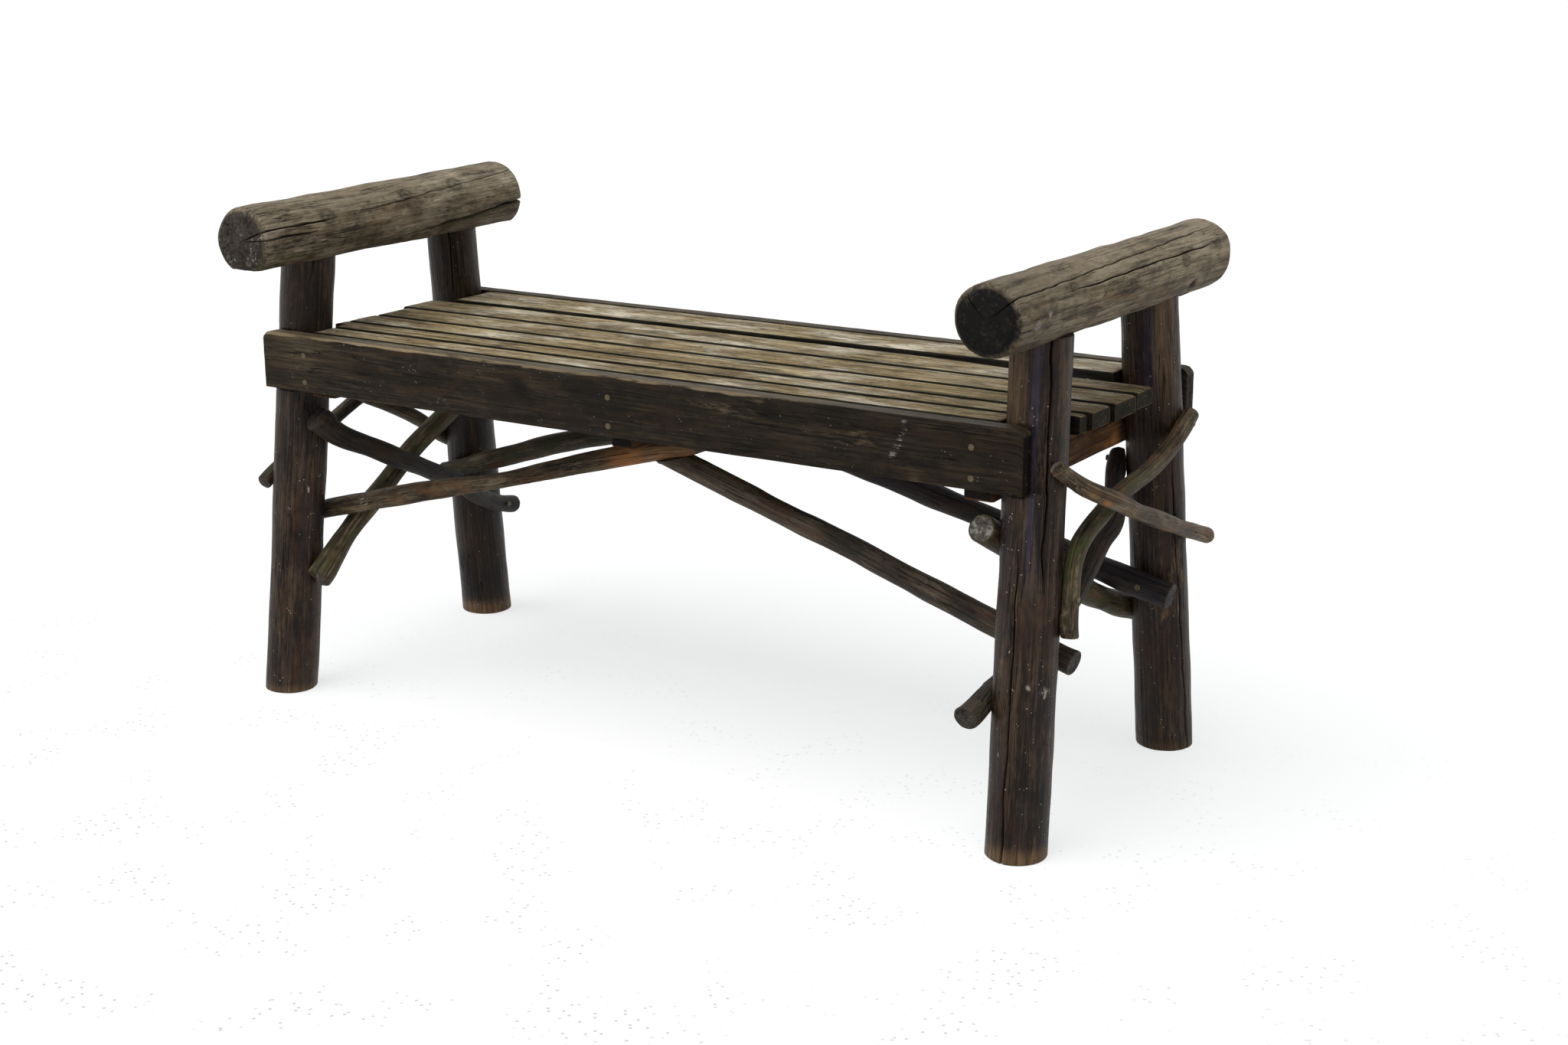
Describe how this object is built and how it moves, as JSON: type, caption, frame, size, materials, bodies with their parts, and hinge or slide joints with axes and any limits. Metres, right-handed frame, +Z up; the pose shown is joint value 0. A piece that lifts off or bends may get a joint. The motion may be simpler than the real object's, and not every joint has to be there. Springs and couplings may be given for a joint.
{
  "type": "rustic log bench",
  "caption": "Slatted bench seat on splayed log legs, with a log armrest at each end and crossed natural branch braces below the seat.",
  "frame": {"origin": "middle of the whole bench's box, on the floor", "axes": "+X along the bench towards its right end, -Y towards the front, +Z up"},
  "size_m": [1.1195, 0.5098, 0.6134],
  "materials": {
    "dark_log": "dark stained, split and worn satin",
    "dark_board": "dark stained, worn on the arris",
    "weathered_log": "weathered, matt",
    "seat_board": "weathered, with pale peeled patches",
    "rail_board": "bare, aged",
    "branch": "bark, partly mossy, matt",
    "nail_steel": "dulled, slightly rusted"
  },
  "bodies": {
    "root": {"leg_front_left": "dark_log", "leg_front_right": "dark_log", "leg_back_left": "dark_log", "leg_back_right": "dark_log", "armrest_left": "weathered_log", "armrest_right": "weathered_log", "apron_front": "dark_board", "apron_back": "dark_board", "cross_rail_left": "rail_board", "cross_rail_middle": "rail_board", "cross_rail_right": "rail_board", "seat_slat_1": "seat_board", "seat_slat_2": "seat_board", "seat_slat_3": "seat_board", "seat_slat_4": "seat_board", "seat_slat_5": "seat_board", "seat_slat_6": "seat_board", "brace_front_left": "branch", "brace_front_right": "branch", "brace_back_left": "branch", "brace_back_right": "branch", "brace_left_inner_falling": "branch", "brace_left_inner_rising": "branch", "brace_left_outer_rising": "branch", "brace_left_outer_falling": "branch", "brace_right_inner_falling": "branch", "brace_right_inner_rising": "branch", "brace_right_outer_falling": "branch", "brace_right_outer_rising": "branch", "brace_nails": "nail_steel", "apron_nails": "nail_steel", "rail_nails": "nail_steel", "slat_brads": "nail_steel"}
  },
  "joints": []
}
